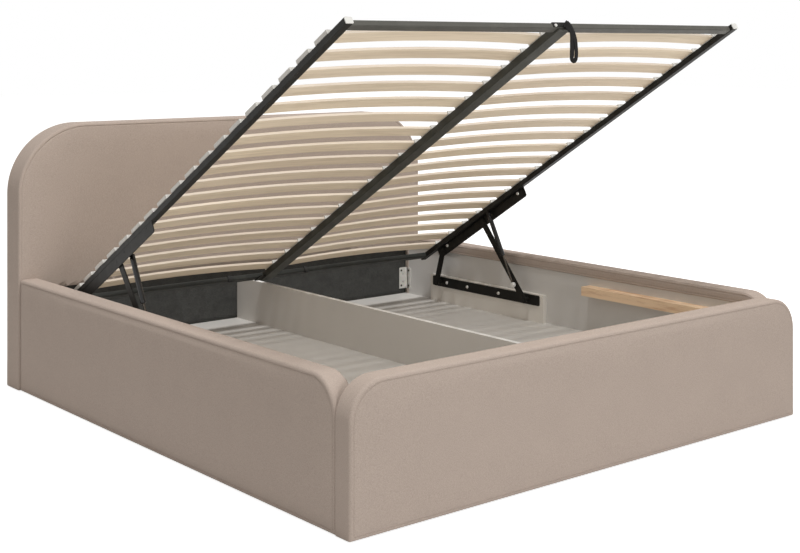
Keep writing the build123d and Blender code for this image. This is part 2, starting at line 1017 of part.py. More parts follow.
# Slats: bowed strips in two banks, their ends in holders along the tubes
slat_pitch = (frame_length - first_slat - last_slat) / (slat_count - 1)
slat_runs = [frame_length - first_slat - slat_pitch * index for index in range(slat_count)]
side_holder_inner = frame_half + holder_overhang - holder_reach
slat_outer_end = side_holder_inner + slat_insertion
slat_inner_end = centre_tube_width / 2 - slat_insertion
slat_middle = (slat_outer_end + slat_inner_end) / 2
slat_base = holder_floor + slat_clearance / 2
# Over its insertion the slat bows up by no more than this
slat_end_rise = 4 * slat_bow * slat_insertion / (slat_outer_end - slat_inner_end)
pocket_height = slat_thickness + slat_clearance + slat_end_rise
holder_height = pocket_height + 2 * holder_floor
holder_length = slat_width + slat_clearance + 2 * holder_wall

with BuildPart() as slat_bank:
    for run in slat_runs:
        with BuildSketch(across_frame(run)) as slat_section:
            with BuildLine():
                lower = ThreePointArc(
                    (slat_inner_end, -slat_base),
                    (slat_middle, -slat_base - slat_bow),
                    (slat_outer_end, -slat_base),
                )
                upper = ThreePointArc(
                    (slat_inner_end, -slat_base - slat_thickness),
                    (slat_middle, -slat_base - slat_bow - slat_thickness),
                    (slat_outer_end, -slat_base - slat_thickness),
                )
                Line(lower @ 0, upper @ 0)
                Line(lower @ 1, upper @ 1)
            make_face()
        extrude(slat_section.sketch, amount=slat_width / 2, both=True)
save_pair(slat_bank, "slats")


def holder_row(x_span, pocket_spans):
    """A row of slat holders on top of a tube, with pockets that the slat ends slide into."""
    centres = [(sum(x_span) / 2, -run) for run in slat_runs]
    with BuildPart() as row:
        with BuildSketch(frame_plane):
            with Locations(*centres):
                Rectangle(x_span[1] - x_span[0], holder_length)
        extrude(amount=holder_height)
        for pocket_span in pocket_spans:
            with BuildSketch(frame_plane.offset(holder_floor)):
                with Locations(*((sum(pocket_span) / 2, -run) for run in slat_runs)):
                    Rectangle(pocket_span[1] - pocket_span[0], slat_width + slat_clearance)
            extrude(amount=pocket_height, mode=Mode.SUBTRACT)
    return row


side_holders = holder_row(
    (side_holder_inner, frame_half + holder_overhang),
    [(side_holder_inner - overrun, slat_outer_end + slat_clearance)],
)
save_pair(side_holders, "side_slat_holders")

centre_half = centre_tube_width / 2
centre_pocket = (slat_inner_end - slat_clearance, centre_half + overrun)
centre_holders = holder_row(
    (-centre_half, centre_half),
    [centre_pocket, (-centre_pocket[1], -centre_pocket[0])],
)
save(centre_holders, "centre_slat_holders")

# Pull strap at the foot, its plate and bolts
foot_tube_face = across_frame(foot_tube_run)

with BuildPart(frame_plane) as strap_plate:
    plate_span = (
        strap_plate_offset - strap_plate_width / 2,
        strap_plate_offset + strap_plate_width / 2,
    )
    block(
        plate_span,
        (-foot_tube_run - strap_plate_thickness, -foot_tube_run + strap_plate_depth),
        (0, strap_plate_thickness),
    )
    block(
        plate_span,
        (-foot_tube_run - strap_plate_thickness, -foot_tube_run),
        (-strap_plate_drop, 0),
    )
save(strap_plate, "strap_plate")

with BuildPart() as strap_bolts:
    strap_bolt_places = [
        (strap_plate_offset + side * strap_bolt_spacing / 2, strap_bolt_drop) for side in (-1, 1)
    ]
    extrude(
        discs(foot_tube_face.offset(-strap_plate_thickness), strap_bolt_places, small_bolt_head_radius),
        amount=-small_bolt_head_height,
        taper=head_taper,
    )
save(strap_bolts, "strap_bolts")

# The strap follows the face of the plate and tubes, then hangs straight down
strap_x_span = (
    min(strap_offset, strap_neck_offset) - strap_width,
    max(strap_offset, strap_neck_offset) + strap_width,
)
strap_face_y = -foot_tube_run - strap_plate_thickness - strap_gap
strap_head = frame_plane.from_local_coords((0, strap_face_y, -strap_gap))
strap_head_front = frame_plane.from_local_coords((0, strap_face_y - strap_thickness, -strap_gap))
strap_bend = frame_plane.from_local_coords((0, strap_face_y, -centre_tube_height))
strap_end_z = strap_head.Z - strap_length
bend_rise = strap_thickness * tan(radians(open_angle / 2))
strap_half = strap_width / 2
neck_half = strap_neck_width / 2
neck_z = strap_head.Z - strap_neck_length
round_z = strap_end_z + strap_half

with BuildPart() as strap_handle:
    with BuildSketch(Plane.YZ.offset(strap_x_span[0])):
        with BuildLine():
            Polyline(
                (strap_head.Y, strap_head.Z),
                (strap_bend.Y, strap_bend.Z),
                (strap_bend.Y, strap_end_z),
                (strap_bend.Y - strap_thickness, strap_end_z),
                (strap_bend.Y - strap_thickness, strap_bend.Z + bend_rise),
                (strap_head_front.Y, strap_head_front.Z),
                close=True,
            )
        make_face()
    extrude(amount=strap_x_span[1] - strap_x_span[0])
    with BuildSketch(Plane.XZ.offset(-strap_head.Y)):
        with BuildLine():
            Polyline(
                (strap_offset + strap_half, round_z),
                (strap_offset + strap_half, strap_head.Z - strap_right_shoulder),
                (strap_neck_offset + neck_half, neck_z),
                (strap_neck_offset + neck_half, strap_head_front.Z + strap_gap),
                (strap_neck_offset - neck_half, strap_head_front.Z + strap_gap),
                (strap_neck_offset - neck_half, neck_z),
                (strap_offset - strap_half, strap_head.Z - strap_left_shoulder),
                (strap_offset - strap_half, round_z),
            )
            ThreePointArc(
                (strap_offset - strap_half, round_z),
                (strap_offset, strap_end_z),
                (strap_offset + strap_half, round_z),
            )
        make_face()
        with Locations((strap_offset, strap_end_z + strap_slit_rise + strap_slit_length / 2)):
            SlotOverall(strap_slit_length, strap_slit_width, rotation=90, mode=Mode.SUBTRACT)
    extrude(amount=strap_length, both=True, mode=Mode.INTERSECT)
save(strap_handle, "strap_handle")

# Clips on the head tube, and the gusset that ties the centre tube to it
with BuildPart(frame_plane) as head_tube_clips:
    for side in (-1, 1):
        clip_span = (side * clip_offset - clip_width / 2, side * clip_offset + clip_width / 2)
        block(
            clip_span,
            (-head_tube_run - clip_wall, -head_tube_run),
            (-cross_tube_height - clip_reach, clip_wall),
        )
        block(
            clip_span,
            (-head_tube_run, -head_tube_run + cross_tube_width / 2),
            (0, clip_wall),
        )
        block(
            clip_span,
            (-head_tube_run - clip_reach, -head_tube_run + clip_reach),
            (-cross_tube_height - clip_wall, -cross_tube_height),
        )
save(head_tube_clips, "head_tube_clips")

with BuildPart(frame_plane) as centre_gusset:
    block(
        (gusset_offset - gusset_width / 2, gusset_offset + gusset_width / 2),
        (-head_tube_run - gusset_length + cross_tube_width, -head_tube_run + cross_tube_width),
        (-cross_tube_height - gusset_thickness, -cross_tube_height),
    )
save(centre_gusset, "centre_gusset")

print("long link from", long_base, "to", long_top)
print("short link from", short_base, "to", short_top)
print("gas spring from", gas_top, "to", gas_foot)
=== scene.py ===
import json
from math import cos, exp, hypot, pi, radians, sin

import bmesh
import bpy
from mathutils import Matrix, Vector, noise


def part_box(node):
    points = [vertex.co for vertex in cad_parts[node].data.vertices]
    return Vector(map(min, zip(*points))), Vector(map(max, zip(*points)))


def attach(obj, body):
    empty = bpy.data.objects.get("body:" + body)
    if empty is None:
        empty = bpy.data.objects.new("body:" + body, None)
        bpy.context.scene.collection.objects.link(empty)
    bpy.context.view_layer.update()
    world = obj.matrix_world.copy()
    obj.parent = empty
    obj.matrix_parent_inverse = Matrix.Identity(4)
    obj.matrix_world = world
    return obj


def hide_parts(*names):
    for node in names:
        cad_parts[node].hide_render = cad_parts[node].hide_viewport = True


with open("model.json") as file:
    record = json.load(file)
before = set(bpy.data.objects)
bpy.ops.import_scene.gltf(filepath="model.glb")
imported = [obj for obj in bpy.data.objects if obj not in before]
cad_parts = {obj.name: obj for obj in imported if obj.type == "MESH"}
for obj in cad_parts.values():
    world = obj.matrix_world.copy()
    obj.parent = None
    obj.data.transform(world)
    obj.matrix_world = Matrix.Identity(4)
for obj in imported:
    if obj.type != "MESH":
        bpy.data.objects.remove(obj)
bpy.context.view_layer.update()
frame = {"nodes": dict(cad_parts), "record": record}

scene = bpy.context.scene
nodes = frame["nodes"]

# Camera, solved from the straight edges of the bed
camera_data = bpy.data.cameras.new("camera")
camera_data.lens = 62.4188
camera_data.sensor_width = 36
camera_data.shift_x = -0.1494
camera_data.shift_y = -0.2864
camera_data.clip_end = 60
camera = bpy.data.objects.new("camera", camera_data)
camera.location = (-2.885076, -3.926899, 1.235491)
camera.rotation_euler = (radians(90), 0, radians(-41.86973))
scene.collection.objects.link(camera)
scene.camera = camera

scene.view_settings.view_transform = "Standard"


# Places that the materials are fitted to
FLANGE_FACE_X = 0.7992
FLANGE_FOOT_Z = 0.38
SLAT_PITCH = 0.08955
FRAME_RUN = (0, -0.869, 0.495)

# Sizes of the padded covers, their flaps and the boards
STEP = 0.018
PADDING = 0.012
HEAD_COVER_CORNER = 0.25
FOOT_COVER_CORNER = 0.104
BACK_CORNER = 0.238
FOOT_CORNER = 0.092
RIM = 0.005
FRONT_EDGE = 0.009
SEAM_INSET = 0.0115
SEAM_PROFILE = ((-0.0022, 0.0), (-0.0011, 0.0006), (0.0, 0.0019), (0.0011, 0.0006), (0.0022, 0.0))
CROWN = 0.003
SWELL_LIMIT = 0.004
SWELL_MARGIN = 0.02
SWELL_PRESSURE = 1.5
SWELL_FRAMES = 20
SWELL_AVERAGES = 6
FLAP_THICKNESS = 0.0025
FLAP_INSET = 0.005
FLAP_LIFT = 0.0001
SIDE_FLAP_CORNER = 0.099
FOOT_FLAP_CORNER = 0.03
FOOT_FLAP_GAP = 0.0028
FOOT_FLAP_STEP = 0.012
HEM_INSET = 0.0075
HEM_PROFILE = ((-0.0016, 0.0), (0.0, 0.0009), (0.0016, 0.0))
FACE_DEPTH = 0.001
RECESS_MARGIN = 0.012
LINING_THICKNESS = 0.0012
BOARD_BEVEL = 0.0008
STRAP_THICKNESS = 0.003
STRAP_TWIST = 0.3

# Light
FLOOR_GLOW = 0.85
AMBIENT = 0.45
AMBIENT_TINT = (1.0, 0.95, 0.895, 1)


# Materials
def srgb(red, green, blue):
    """A colour picked in 0 to 255 as linear values with alpha."""
    def linear(value):
        value /= 255
        return value / 12.92 if value <= 0.04045 else ((value + 0.055) / 1.055) ** 2.4
    return (linear(red), linear(green), linear(blue), 1)


class Shader:
    """A Principled material with a few short ways to add nodes."""

    def __init__(self, name, roughness=0.5, metallic=0.0):
        self.material = bpy.data.materials.new(name)
        self.material.use_nodes = True
        self.nodes = self.material.node_tree.nodes
        self.links = self.material.node_tree.links
        self.bsdf = self.nodes["Principled BSDF"]
        self.bsdf.inputs["Roughness"].default_value = roughness
        self.bsdf.inputs["Metallic"].default_value = metallic
        coordinates = self.node("ShaderNodeTexCoord")
        self.place = coordinates.outputs["Object"]
        self.facing = coordinates.outputs["Normal"]

    def node(self, kind, **settings):
        made = self.nodes.new(kind)
        for key, value in settings.items():
            setattr(made, key, value)
        return made

    def link(self, source, target):
        self.links.new(source, target)

    def scaled(self, scale, offset=(0, 0, 0)):
        mapping = self.node("ShaderNodeMapping")
        mapping.inputs["Scale"].default_value = scale
        mapping.inputs["Location"].default_value = offset
        self.link(self.place, mapping.inputs["Vector"])
        return mapping.outputs["Vector"]

    def noise(self, scale, detail=4.0, roughness=0.55, vector=None):
        made = self.node("ShaderNodeTexNoise")
        made.inputs["Scale"].default_value = scale
        made.inputs["Detail"].default_value = detail
        made.inputs["Roughness"].default_value = roughness
        self.link(vector or self.place, made.inputs["Vector"])
        return made.outputs["Fac"]

    def ramp(self, source, stops):
        made = self.node("ShaderNodeValToRGB")
        ramp = made.color_ramp
        while len(ramp.elements) < len(stops):
            ramp.elements.new(0.5)
        for element, (position, colour) in zip(ramp.elements, stops):
            element.position = position
            element.color = colour
        self.link(source, made.inputs["Fac"])
        return made.outputs["Color"]

    def math(self, operation, first, second):
        made = self.node("ShaderNodeMath", operation=operation)
        for socket, value in zip(made.inputs, (first, second)):
            if isinstance(value, (int, float)):
                socket.default_value = value
            else:
                self.link(value, socket)
        return made.outputs["Value"]

    def mix(self, factor, first, second, blend="MIX"):
        made = self.node("ShaderNodeMix", data_type="RGBA", blend_type=blend)
        for socket, value in ((made.inputs[0], factor), (made.inputs[6], first), (made.inputs[7], second)):
            if isinstance(value, (int, float, tuple)):
                socket.default_value = value
            else:
                self.link(value, socket)
        return made.outputs[2]

    def colour(self, source):
        self.link(source, self.bsdf.inputs["Base Color"])

    def rough(self, source, low, high):
        made = self.node("ShaderNodeMapRange")
        made.inputs["To Min"].default_value = low
        made.inputs["To Max"].default_value = high
        self.link(source, made.inputs["Value"])
        self.link(made.outputs["Result"], self.bsdf.inputs["Roughness"])

    def bump(self, source, distance, strength=1.0):
        made = self.node("ShaderNodeBump")
        made.inputs["Strength"].default_value = strength
        made.inputs["Distance"].default_value = distance
        self.link(source, made.inputs["Height"])
        if self.bsdf.inputs["Normal"].is_linked:
            self.link(self.bsdf.inputs["Normal"].links[0].from_socket, made.inputs["Normal"])
        self.link(made.outputs["Normal"], self.bsdf.inputs["Normal"])


def tone(colour, share):
    """A colour made lighter or darker by a factor."""
    return tuple(min(1.0, channel * share) for channel in colour[:3]) + (1,)


def cloth(name, colour, thread=0.0011, contrast=0.10, sheen=0.25, cloud=0.02, cloud_scale=9, gloss=0.25):
    """A plain weave of two thread directions, with slubs and a soft mottle."""
    made = Shader(name, roughness=0.92)
    made.bsdf.inputs["Sheen Weight"].default_value = sheen
    made.bsdf.inputs["Sheen Roughness"].default_value = 0.55
    made.bsdf.inputs["Sheen Tint"].default_value = tone(colour, 1.5)
    made.bsdf.inputs["Specular IOR Level"].default_value = gloss
    count = 1 / thread / 2
    across = made.node("ShaderNodeSeparateXYZ")
    made.link(made.place, across.inputs["Vector"])
    sideways = made.math("ADD", across.outputs["X"], across.outputs["Y"])
    wobble = made.math("MULTIPLY", made.noise(120, 2), 0.0016)
    turns = 2 * pi * count
    warp = made.math("SINE", made.math("MULTIPLY", made.math("ADD", sideways, wobble), turns), 0)
    upward = made.math("ADD", across.outputs["Z"], wobble)
    weft = made.math("SINE", made.math("MULTIPLY", upward, turns), 0)
    weave = made.math("MULTIPLY", warp, weft)
    slub = made.noise(1, 3, 0.7, made.scaled((260, 260, 900)))
    slub_up = made.noise(1, 3, 0.7, made.scaled((900, 900, 260), (3, 1, 2)))
    thick = made.math("ADD", made.math("MULTIPLY", slub, 0.5), made.math("MULTIPLY", slub_up, 0.5))
    mottle = made.noise(cloud_scale, 5, 0.6)
    shade = made.ramp(
        thick,
        [
            (0.36, tone(colour, 1 - 2.2 * contrast)),
            (0.50, colour),
            (0.64, tone(colour, 1 + 1.6 * contrast)),
        ],
    )
    faint, full = 1 - cloud, 1 + cloud
    soft = made.ramp(mottle, [(0.3, (faint, faint, faint, 1)), (0.7, (full, full, full, 1))])
    made.colour(made.mix(1.0, shade, soft, "MULTIPLY"))
    made.bump(weave, 0.00012, 0.5)
    made.bump(thick, 0.0004, 0.6)
    return made.material


def coated_steel(name, colour, roughness=0.48):
    """Powder-coated steel with a fine orange-peel skin and dull rubbed patches."""
    made = Shader(name, roughness=roughness)
    made.bsdf.inputs["Specular IOR Level"].default_value = 0.2
    rubbed = made.noise(14, 6, 0.65)
    made.colour(made.ramp(rubbed, [(0.35, tone(colour, 0.85)), (0.6, colour), (0.75, tone(colour, 1.5))]))
    made.rough(made.noise(35, 4), roughness - 0.08, roughness + 0.14)
    made.bump(made.noise(1400, 2), 0.00008, 0.5)
    return made.material


def bare_metal(name, colour, roughness=0.3):
    """Plated metal with a brushed grain and faint stains."""
    made = Shader(name, roughness=roughness, metallic=1.0)
    stain = made.noise(60, 5, 0.6)
    made.colour(made.ramp(stain, [(0.35, tone(colour, 0.8)), (0.65, colour)]))
    made.rough(made.noise(1, 2, 0.5, made.scaled((300, 40, 300))), roughness - 0.1, roughness + 0.15)
    made.bump(made.noise(900, 2), 0.00004, 0.4)
    return made.material


def zinc_plate(name, colour):
    """Pale zinc with a soft spangle. The bolt ends outside the flanges are dark."""
    made = Shader(name, roughness=0.42, metallic=0.35)
    spangle = made.node("ShaderNodeTexVoronoi")
    spangle.inputs["Scale"].default_value = 260
    made.link(made.place, spangle.inputs["Vector"])
    tint = made.ramp(made.noise(60, 5, 0.6), [(0.35, tone(colour, 0.86)), (0.65, colour)])
    plate = made.mix(0.12, tint, spangle.outputs["Color"], "OVERLAY")
    split = made.node("ShaderNodeSeparateXYZ")
    made.link(made.place, split.inputs["Vector"])
    outer = made.math("GREATER_THAN", made.math("ABSOLUTE", split.outputs["X"], 0), FLANGE_FACE_X)
    upper = made.math("GREATER_THAN", split.outputs["Z"], FLANGE_FOOT_Z)
    made.colour(made.mix(made.math("MULTIPLY", outer, upper), plate, (0.01, 0.01, 0.009, 1)))
    made.rough(made.noise(1, 2, 0.5, made.scaled((300, 40, 300))), 0.35, 0.6)
    made.bump(made.noise(900, 2), 0.00004, 0.4)
    return made.material


def gloss_black(name, colour):
    """Black lacquer with faint streaks, for the cylinders of the gas springs."""
    made = Shader(name, roughness=0.2)
    streak = made.noise(1, 3, 0.6, made.scaled((200, 30, 30)))
    made.colour(made.ramp(streak, [(0.35, tone(colour, 0.8)), (0.7, tone(colour, 1.3))]))
    made.rough(made.noise(70, 3), 0.16, 0.3)
    made.bump(made.noise(1100, 2), 0.00003, 0.4)
    return made.material


def moulded_plastic(name, colour, roughness=0.45):
    """Moulded plastic with a fine grain and slight flow marks."""
    made = Shader(name, roughness=roughness)
    flow = made.noise(8, 3)
    made.colour(made.ramp(flow, [(0.3, tone(colour, 0.92)), (0.7, tone(colour, 1.04))]))
    made.rough(made.noise(90, 3), roughness - 0.06, roughness + 0.1)
    made.bump(made.noise(2200, 1), 0.00005, 0.5)
    return made.material


def wood(name, light, dark, along, pitch=0.0, knots=False, roughness=0.6):
    """Sawn wood. along is the scale of each axis, small along the grain. With pitch, the distance from
    slat to slat, each slat has its own tone and its narrow edges get painted shade, a darker, cooler tone."""
    made = Shader(name, roughness=roughness)
    fibre = made.noise(1, 6, 0.6, made.scaled(along))
    ring = made.noise(1, 2, 0.5, made.scaled(tuple(value / 9 for value in along), (4, 2, 7)))
    grain = made.math("ADD", made.math("MULTIPLY", fibre, 0.55), made.math("MULTIPLY", ring, 0.45))
    shade = made.ramp(grain, [(0.36, dark), (0.5, light), (0.7, tone(light, 1.12))])
    if pitch:
        split = made.node("ShaderNodeSeparateXYZ")
        made.link(made.place, split.inputs["Vector"])
        counted = made.math("ADD", made.math("DIVIDE", split.outputs["Y"], pitch), 0.5)
        number = made.math("FLOOR", counted, 0)
        side = made.math("MULTIPLY", made.math("SIGN", split.outputs["X"], 0), 37.3)
        pick = made.node("ShaderNodeTexWhiteNoise", noise_dimensions="1D")
        made.link(made.math("ADD", number, side), pick.inputs["W"])
        each = made.ramp(
            pick.outputs["Value"],
            [(0.0, (0.94, 0.92, 0.90, 1)), (0.5, (1, 1, 1, 1)), (1.0, (1.04, 1.03, 1.0, 1))],
        )
        shade = made.mix(1.0, shade, each, "MULTIPLY")
        # Painted shade: faces whose normal lies along the run of the frame, the slats' narrow edges, are
        # darkened and cooled
        facing = made.node("ShaderNodeVectorMath", operation="DOT_PRODUCT")
        made.link(made.facing, facing.inputs[0])
        facing.inputs[1].default_value = FRAME_RUN
        edge = made.ramp(
            made.math("ABSOLUTE", facing.outputs["Value"], 0),
            [(0.45, (1, 1, 1, 1)), (0.75, (0.77, 0.79, 0.85, 1))],
        )
        shade = made.mix(1.0, shade, edge, "MULTIPLY")
    if knots:
        cell = made.node("ShaderNodeTexVoronoi")
        cell.inputs["Scale"].default_value = 1
        made.link(made.scaled((11, 5, 11)), cell.inputs["Vector"])
        eye = made.ramp(cell.outputs["Distance"], [(0.03, (0.45, 0.30, 0.2, 1)), (0.09, (1, 1, 1, 1))])
        shade = made.mix(0.7, shade, eye, "MULTIPLY")
    made.colour(shade)
    made.rough(fibre, roughness - 0.08, roughness + 0.12)
    made.bump(fibre, 0.0003, 0.5)
    return made.material


def faced_board(name, colour, roughness=0.38):
    """Board with a plain melamine face: faint cloud and a fine pore."""
    made = Shader(name, roughness=roughness)
    cloud = made.noise(3, 4)
    pore = made.noise(700, 2)
    shade = made.ramp(cloud, [(0.3, tone(colour, 0.96)), (0.7, tone(colour, 1.03))])
    made.colour(made.mix(0.08, shade, made.ramp(pore, [(0.4, tone(colour, 0.8)), (0.6, colour)])))
    made.rough(made.noise(20, 3), roughness - 0.05, roughness + 0.1)
    made.bump(pore, 0.00006, 0.35)
    return made.material


def edge_band_and_painted_light_board(name, colour):
    """Faced board whose upward-facing faces turn near-white: a white edge band, and painted light on its
    top edge.
    """
    made = Shader(name, roughness=0.38)
    split = made.node("ShaderNodeSeparateXYZ")
    made.link(made.facing, split.inputs["Vector"])
    # Upward-facing faces turn near-white: a real edge band plus painted light on the top edge
    band = made.ramp(split.outputs["Z"], [(0.5, (0, 0, 0, 1)), (0.8, (1, 1, 1, 1))])
    shade = made.ramp(made.noise(3, 4), [(0.3, tone(colour, 0.96)), (0.7, tone(colour, 1.03))])
    made.colour(made.mix(band, shade, srgb(250, 249, 246)))
    made.rough(made.noise(20, 3), 0.33, 0.48)
    made.bump(made.noise(700, 2), 0.00006, 0.35)
    return made.material


TAUPE = srgb(173, 159, 149)
materials = {
    "upholstery": cloth("woven_cloth", TAUPE),
    "dark_lining": cloth(
        "felt_lining", srgb(64, 64, 62), thread=0.0016, contrast=0.24, sheen=0.1, cloud=0.18, cloud_scale=30
    ),
    "webbing": cloth("black_webbing", srgb(19, 18, 17), thread=0.0012, contrast=0.2, sheen=0.06, gloss=0.3),
    "raw_board": faced_board("plain_board", srgb(196, 186, 172), 0.6),
    "grey_board": faced_board("faced_board", srgb(217, 213, 207)),
    "softwood": wood("pine", srgb(238, 208, 174), srgb(194, 146, 108), (90, 6, 90), knots=True),
    "birch": wood("birch", srgb(233, 217, 193), srgb(216, 199, 174), (5, 120, 120), pitch=SLAT_PITCH),
    "black_plastic": moulded_plastic("black_plastic", srgb(28, 28, 28)),
    "white_plastic": moulded_plastic("white_plastic", srgb(226, 226, 224)),
    "grey_plastic": moulded_plastic("grey_plastic", srgb(214, 212, 206)),
    "zinc": zinc_plate("zinc_plate", srgb(226, 224, 219)),
    "black_steel": coated_steel("black_steel", srgb(29, 28, 25)),
    # Painted reflection: the chrome rods get a dark brownish colour for the dark surroundings they reflect
    "rod_steel": bare_metal("rod_steel", srgb(92, 86, 79), 0.2),
}
own_materials = {
    # Painted light: the foot tube is the frame's black powder coat, coloured mid-grey for the light that
    # falls on its outer face
    "foot_tube": coated_steel("painted_light_steel", srgb(86, 85, 80)),
    "head_tube": coated_steel("grey_steel", srgb(47, 48, 45)),
    "centre_tube": coated_steel("grey_green_steel", srgb(62, 62, 56)),
    "bracket_screws": bare_metal("dark_screws", srgb(84, 80, 74), 0.4),
    # Painted shade: the white caps are coloured grey so their lit front faces do not clip to white
    "tube_end_caps": moulded_plastic("white_cap_plastic_painted_shade", srgb(208, 208, 204)),
    "gas_cylinder_left": gloss_black("gloss_black", srgb(14, 13, 12)),
    "centre_divider": edge_band_and_painted_light_board("edge_band_and_painted_light_board", srgb(217, 213, 207)),
    # Painted light: the packing boards are a lighter copy of the faced board
    "packing_boards": faced_board("packing_face_painted_light", srgb(231, 227, 220)),
    # Painted shade: the storage floors are a darker copy of the faced board, for the shade inside the box
    "floor_panel_left": faced_board("floor_face_painted_shade", srgb(204, 201, 196)),
    # Painted shade: the side boards are a darker copy of the faced board, for the shade towards the head
    "side_board_left": faced_board("side_face_painted_shade", srgb(209, 207, 204)),
}
own_materials["floor_panel_right"] = own_materials["floor_panel_left"]
own_materials["side_board_right"] = own_materials["side_board_left"]
own_materials["gas_cylinder_right"] = own_materials["gas_cylinder_left"]

slot_of = {entry["node"]: entry["material_slot"] for entry in frame["record"]["subparts"]}

for node_name, node in nodes.items():
    node.data.materials.clear()
    node.data.materials.append(own_materials.get(node_name) or materials[slot_of[node_name]])


# Helpers that turn meshes into pieces
def linked(name, built):
    """Turns a bmesh into an object of the scene."""
    mesh = bpy.data.meshes.new(name)
    built.to_mesh(mesh)
    built.free()
    piece = bpy.data.objects.new(name, mesh)
    scene.collection.objects.link(piece)
    return piece


def smoothed(piece):
    """Gives a piece smooth shading."""
    for face in piece.data.polygons:
        face.use_smooth = True


def eased(piece, width):
    """Adds a small bevel to the sharp edges of a piece."""
    bevel = piece.modifiers.new("edges", "BEVEL")
    bevel.width = width
    bevel.segments = 2
    bevel.limit_method = "ANGLE"
    bevel.angle_limit = radians(50)


# Padded panels: shells lofted from rings that follow the panel's outline
def outline_points(left, right, bottom, top, left_radius, right_radius, step):
    """Points round a rectangle, anticlockwise from its bottom left, whose top corners may be round."""
    small = 0.004
    corners = (
        ((left, bottom), small, 180),
        ((right, bottom), small, 270),
        ((right, top), max(right_radius, small), 0),
        ((left, top), max(left_radius, small), 90),
    )
    points = []
    centres = []
    for (x, y), radius, start in corners:
        centre = (
            x + (radius if x == left else -radius),
            y + (radius if y == bottom else -radius),
        )
        centres.append((centre, radius, start))
    for index, (centre, radius, start) in enumerate(centres):
        count = max(2, int(radius * pi / 2 / step * 1.6))
        for turn in range(count + 1):
            angle = radians(start + 90 * turn / count)
            points.append((centre[0] + radius * cos(angle), centre[1] + radius * sin(angle)))
        following = centres[(index + 1) % 4]
        goal_angle = radians(following[2])
        goal = (
            following[0][0] + following[1] * cos(goal_angle),
            following[0][1] + following[1] * sin(goal_angle),
        )
        begin = points[-1]
        span = hypot(goal[0] - begin[0], goal[1] - begin[1])
        parts = max(1, round(span / step))
        for part in range(1, parts):
            share = part / parts
            points.append((
                begin[0] + (goal[0] - begin[0]) * share, begin[1] + (goal[1] - begin[1]) * share
            ))
    return points


def middle_points(points):
    """For each point, its place on the line that all sides shrink to."""
    left, right = min(p[0] for p in points), max(p[0] for p in points)
    bottom, top = min(p[1] for p in points), max(p[1] for p in points)
    half = min(right - left, top - bottom) / 2
    placed = []
    for x, y in points:
        placed.append((
            min(max(x, left + half), right - half) if right - left > 2 * half else (left + right) / 2,
            min(max(y, bottom + half), top - half) if top - bottom > 2 * half else (bottom + top) / 2,
        ))
    return placed, half


def ring_shell(name, outer, inner, rings_outside, rings_inside, place):
    """A closed shell. outer and inner are outlines with the same count, rings are (inset, depth) pairs
    from the middle of the inside over the rim to the middle of the outside; place turns
    (across, up, depth) into a point."""
    built = bmesh.new()
    rows = []
    for outline, rings in ((inner, rings_inside), (outer, rings_outside)):
        middle, half = middle_points(outline)
        for inset, depth in rings:
            share = min(1.0, inset / half)
            rows.append([
                built.verts.new(place(
                    p[0] + (m[0] - p[0]) * share, p[1] + (m[1] - p[1]) * share, depth
                ))
                for p, m in zip(outline, middle)
            ])
    count = len(outer)
    for row, following in zip(rows, rows[1:]):
        for index in range(count):
            after = (index + 1) % count
            built.faces.new((row[index], row[after], following[after], following[index]))
    for row in (rows[0], rows[-1]):
        bmesh.ops.remove_doubles(built, verts=row, dist=1e-5)
    bmesh.ops.dissolve_degenerate(built, dist=1e-6, edges=built.edges)
    bmesh.ops.recalc_face_normals(built, faces=built.faces)
    piece = linked(name, built)
    smoothed(piece)
    return piece


def face_rings(thickness, half):
    """Rings from the back rim over a rounded front edge and a sewn seam to the middle of the face."""
    rings = []
    for turn in range(5):
        angle = radians(90 * turn / 4)
        rings.append((RIM * (1 - sin(angle)), RIM * (1 - cos(angle))))
    rings += [(0.0, thickness * 0.33), (0.0, thickness * 0.66)]
    for turn in range(6):
        angle = radians(90 * turn / 5)
        rings.append((FRONT_EDGE * (1 - cos(angle)), thickness - FRONT_EDGE * (1 - sin(angle))))
    for away, dip in SEAM_PROFILE:
        rings.append((SEAM_INSET + away, thickness - dip))
    inset = SEAM_INSET + 0.006
    step, growth, widest = 0.008, 1.25, 0.045
    rise_length = 0.05
    while inset < half - step * 0.6:
        rise = CROWN * (1 - exp(-(inset - SEAM_INSET) / rise_length))
        rings.append((inset, thickness + rise))
        inset += step
        step = min(step * growth, widest)
    rings.append((half, thickness + CROWN))
    return rings


def inner_rings(thickness, half):
    """Rings on the inside of the cover, from the middle of the board's face to the rim."""
    depth = thickness - PADDING
    return [(half, depth), (0.02, depth), (0.0, depth), (0.0, 0.0)]


def applied(piece):
    """Bakes the modifiers of a piece into its mesh."""
    ready = bpy.data.meshes.new_from_object(piece.evaluated_get(bpy.context.evaluated_depsgraph_get()))
    piece.modifiers.clear()
    old = piece.data
    piece.data = ready
    bpy.data.meshes.remove(old)


